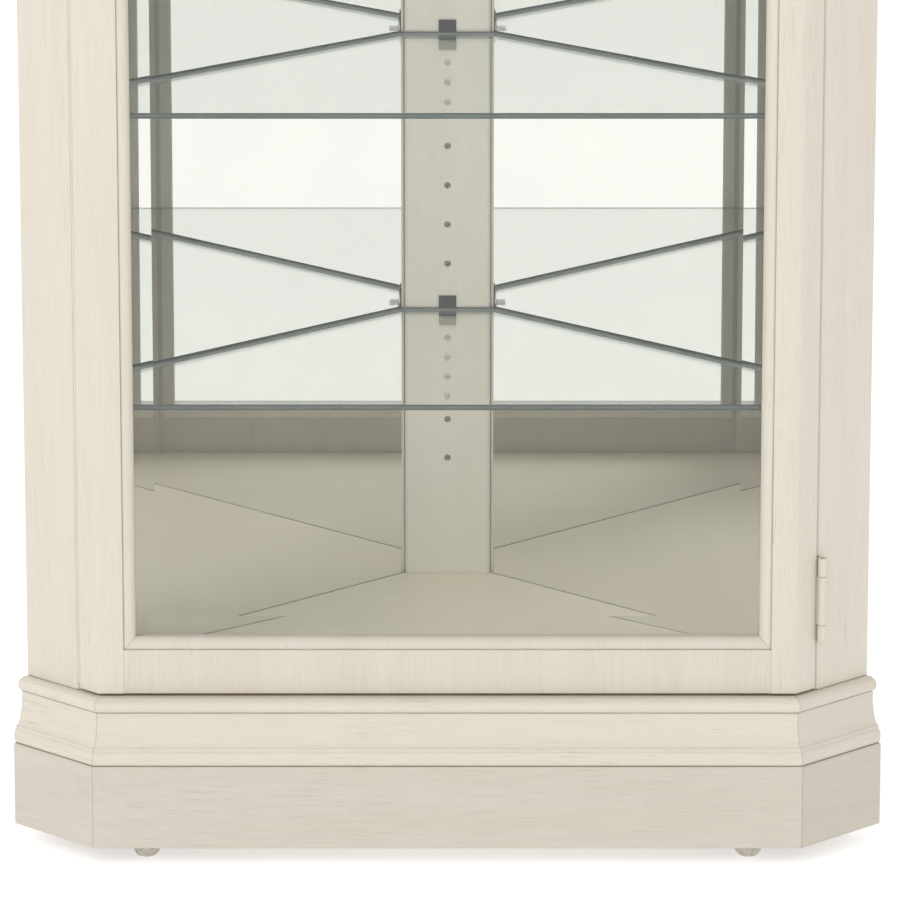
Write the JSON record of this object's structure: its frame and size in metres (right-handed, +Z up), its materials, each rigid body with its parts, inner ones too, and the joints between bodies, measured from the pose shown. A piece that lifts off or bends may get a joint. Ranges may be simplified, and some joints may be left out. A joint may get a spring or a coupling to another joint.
{
  "type": "corner curio cabinet",
  "caption": "Five-sided corner display cabinet with a wide bevelled glass door, mirrored backs, glass shelves on pegs and a moulded, antique painted base.",
  "frame": {"origin": "centre of the bounding box, at floor level", "axes": "+Z up; -Y is the glazed front, +Y the rear corner between the two walls; +X to the hinge side"},
  "size_m": [0.77, 0.44, 1.829],
  "materials": {
    "antique_paint": "brushed antique off-white paint on wood, satin",
    "inner_paint": "plain off-white paint, satin",
    "raw_board": "unpainted fibre board",
    "mirror": "silvered glass",
    "clear_glass": "polished, with green edges",
    "pin_steel": "plain steel",
    "knob_metal": "aged, satin",
    "painted_hinge": "painted to match the cabinet",
    "black_plastic": "black, matt",
    "clear_plastic": "cloudy, nearly clear moulded plastic"
  },
  "bodies": {
    "cabinet": {"back_panel_left": "raw_board", "back_panel_right": "raw_board", "base_moulding_front": "antique_paint", "base_moulding_left": "antique_paint", "base_moulding_right": "antique_paint", "ceiling_panel": "inner_paint", "corner_block_left": "raw_board", "corner_block_right": "raw_board", "crown_front": "antique_paint", "crown_left": "antique_paint", "crown_right": "antique_paint", "floor_panel": "inner_paint", "hinge_1_frame_leaf": "painted_hinge", "hinge_1_pin": "pin_steel", "hinge_2_frame_leaf": "painted_hinge", "hinge_2_pin": "pin_steel", "hinge_3_frame_leaf": "painted_hinge", "hinge_3_pin": "pin_steel", "mirror_left": "mirror", "mirror_right": "mirror", "plinth_front": "antique_paint", "plinth_left": "antique_paint", "plinth_right": "antique_paint", "rear_post": "antique_paint", "shelf_1_support_left": "black_plastic", "shelf_1_support_rear": "black_plastic", "shelf_1_support_right": "black_plastic", "shelf_2_support_left": "black_plastic", "shelf_2_support_rear": "black_plastic", "shelf_2_support_right": "black_plastic", "shelf_3_support_left": "black_plastic", "shelf_3_support_rear": "black_plastic", "shelf_3_support_right": "black_plastic", "shelf_4_support_left": "black_plastic", "shelf_4_support_rear": "black_plastic", "shelf_4_support_right": "black_plastic", "shelf_5_support_left": "black_plastic", "shelf_5_support_rear": "black_plastic", "shelf_5_support_right": "black_plastic", "side_post_left": "antique_paint", "side_post_right": "antique_paint", "wall_rail_left": "raw_board", "wall_rail_right": "raw_board"},
    "door": {"door_glass": "clear_glass", "door_knob": "knob_metal", "door_rail_bottom": "antique_paint", "door_rail_top": "antique_paint", "door_stile_left": "antique_paint", "door_stile_right": "antique_paint", "hinge_1_door_leaf": "painted_hinge", "hinge_2_door_leaf": "painted_hinge", "hinge_3_door_leaf": "painted_hinge"},
    "shelf_1": {"glass_shelf_1": "clear_glass"},
    "shelf_2": {"glass_shelf_2": "clear_glass"},
    "shelf_3": {"glass_shelf_3": "clear_glass"},
    "shelf_4": {"glass_shelf_4": "clear_glass"},
    "shelf_5": {"glass_shelf_5": "clear_glass"},
    "foot_left": {"leveller_left": "clear_plastic"},
    "foot_rear": {"leveller_rear": "clear_plastic"},
    "foot_right": {"leveller_right": "clear_plastic"}
  },
  "joints": [
    {"name": "door_hinge", "type": "hinge", "parent": "cabinet", "child": "door", "pos_m": [0.32878, -0.1854, 0.92425], "axis": [0, 0, 1], "range_deg": [0, 110]},
    {"name": "shelf_1_lift", "type": "slide", "parent": "cabinet", "child": "shelf_1", "axis": [0, 0, 1], "range_m": [0, 0.037]},
    {"name": "shelf_2_lift", "type": "slide", "parent": "cabinet", "child": "shelf_2", "axis": [0, 0, 1], "range_m": [0, 0.037]},
    {"name": "shelf_3_lift", "type": "slide", "parent": "cabinet", "child": "shelf_3", "axis": [0, 0, 1], "range_m": [0, 0.037]},
    {"name": "shelf_4_lift", "type": "slide", "parent": "cabinet", "child": "shelf_4", "axis": [0, 0, 1], "range_m": [0, 0.037]},
    {"name": "shelf_5_lift", "type": "slide", "parent": "cabinet", "child": "shelf_5", "axis": [0, 0, 1], "range_m": [0, 0.037]},
    {"name": "leveller_left_adjust", "type": "slide", "parent": "cabinet", "child": "foot_left", "axis": [0, 0, -1], "range_m": [0, 0.012]},
    {"name": "leveller_rear_adjust", "type": "slide", "parent": "cabinet", "child": "foot_rear", "axis": [0, 0, -1], "range_m": [0, 0.012]},
    {"name": "leveller_right_adjust", "type": "slide", "parent": "cabinet", "child": "foot_right", "axis": [0, 0, -1], "range_m": [0, 0.012]}
  ]
}
